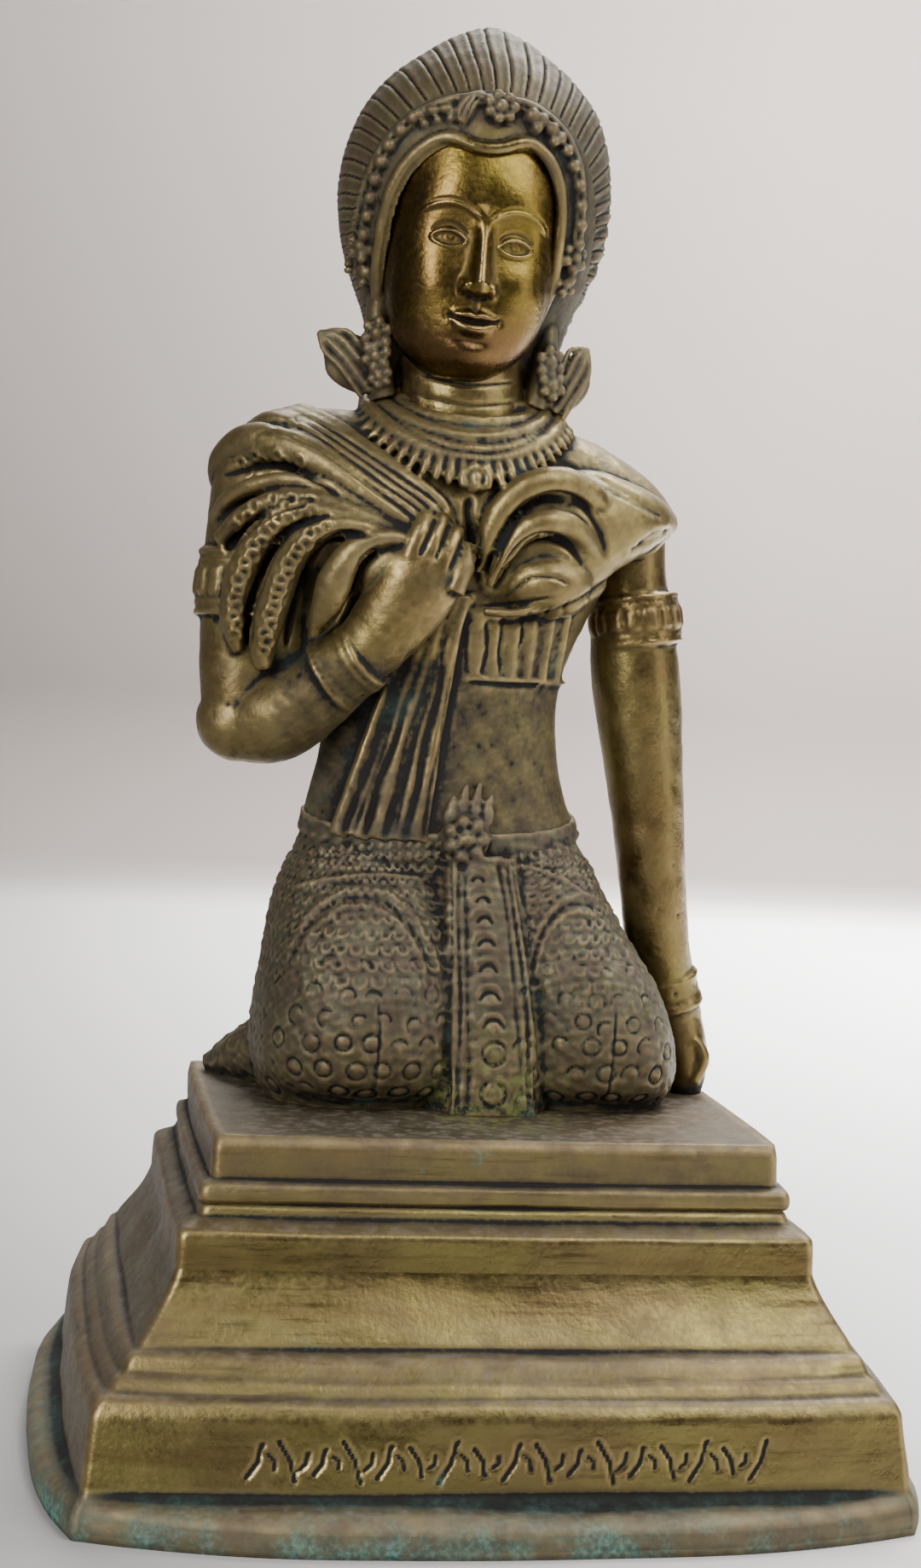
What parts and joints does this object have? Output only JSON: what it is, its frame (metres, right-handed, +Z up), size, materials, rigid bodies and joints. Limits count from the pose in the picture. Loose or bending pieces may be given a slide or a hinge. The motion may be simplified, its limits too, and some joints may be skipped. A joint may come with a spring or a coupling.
{
  "type": "dewi sri statue",
  "caption": "Small cast statue of a crowned rice goddess kneeling on a stepped plinth, one hand on the breast and the other arm straight, in draped cloth and jewellery.",
  "frame": {"origin": "middle of the plinth's underside, on the surface that the statue stands on", "axes": "+Z up through the crown, -Y to the front where the figure faces, +X towards the straight arm"},
  "size_m": [0.1428, 0.1266, 0.2375],
  "materials": {
    "figure_bronze": "aged olive-brown bronze, polished on the face and arms, grey-green patina in the cloth",
    "plinth_bronze": "aged olive-gold bronze with brown streaks and verdigris at the foot"
  },
  "bodies": {
    "root": {"kneeling_figure": "figure_bronze", "stepped_plinth": "plinth_bronze"}
  },
  "joints": []
}
